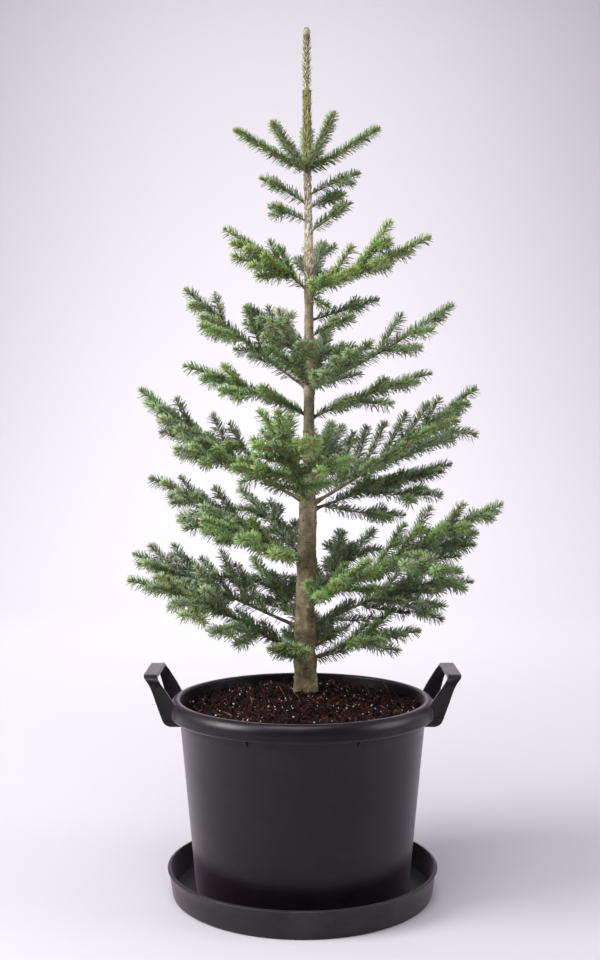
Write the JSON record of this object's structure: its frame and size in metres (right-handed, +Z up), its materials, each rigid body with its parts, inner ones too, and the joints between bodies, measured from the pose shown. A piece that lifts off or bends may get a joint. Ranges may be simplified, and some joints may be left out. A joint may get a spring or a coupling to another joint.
{
  "type": "potted fir tree",
  "caption": "Young fir with tiers of rising boughs and short flat needles, in bark soil in a dark round tub with strap handles that stands on a saucer.",
  "frame": {"origin": "centre of the saucer's flat underside, on the tub's axis", "axes": "+Z up the trunk, +X towards the right handle, -Y towards the front; the trunk stands 45 mm behind the tub's axis"},
  "size_m": [0.6611, 0.5131, 1.565],
  "materials": {
    "tub_plastic": "satin, faint vertical streaks",
    "saucer_plastic": "satin",
    "soil": "shredded bark with white grains",
    "bark": "smooth olive bark with scars",
    "twig": "grey-brown twig bark",
    "leader_needles": "pressed olive needles",
    "needles": "waxy green needles, pale beneath"
  },
  "bodies": {
    "root": {"saucer": "saucer_plastic", "tub": "tub_plastic", "handle_left": "tub_plastic", "handle_right": "tub_plastic", "soil": "soil", "trunk": "bark", "bough_1_left": "twig", "bough_1_right": "twig", "bough_2_left": "twig", "bough_2_right": "twig", "bough_3_right": "twig", "bough_4_left": "twig", "bough_5_left": "twig", "bough_5_low": "twig", "bough_5_right": "twig", "bough_7_left": "twig", "bough_7_right": "twig", "foliage_10_left_high": "needles", "foliage_10_left_low": "needles", "foliage_10_right": "needles", "foliage_10_right_high": "needles", "foliage_10_right_low": "needles", "foliage_1_back": "needles", "foliage_1_front": "needles", "foliage_1_left": "needles", "foliage_1_right": "needles", "foliage_2_back": "needles", "foliage_2_left": "needles", "foliage_2_right": "needles", "foliage_3_back": "needles", "foliage_3_front": "needles", "foliage_3_right": "needles", "foliage_4_back": "needles", "foliage_4_front": "needles", "foliage_4_left": "needles", "foliage_5_back": "needles", "foliage_5_front": "needles", "foliage_5_left": "needles", "foliage_5_low": "needles", "foliage_5_right": "needles", "foliage_6_left": "needles", "foliage_6_right": "needles", "foliage_7_back": "needles", "foliage_7_back_left": "needles", "foliage_7_front_left": "needles", "foliage_7_front_right": "needles", "foliage_7_left": "needles", "foliage_7_right": "needles", "foliage_8_front": "needles", "foliage_8_left": "needles", "foliage_8_low": "needles", "foliage_8_right": "needles", "foliage_9_back": "needles", "foliage_9_front": "needles", "foliage_9_left": "needles", "foliage_9_right": "needles", "foliage_top_whorl": "needles", "leader_needles": "leader_needles"}
  },
  "joints": []
}
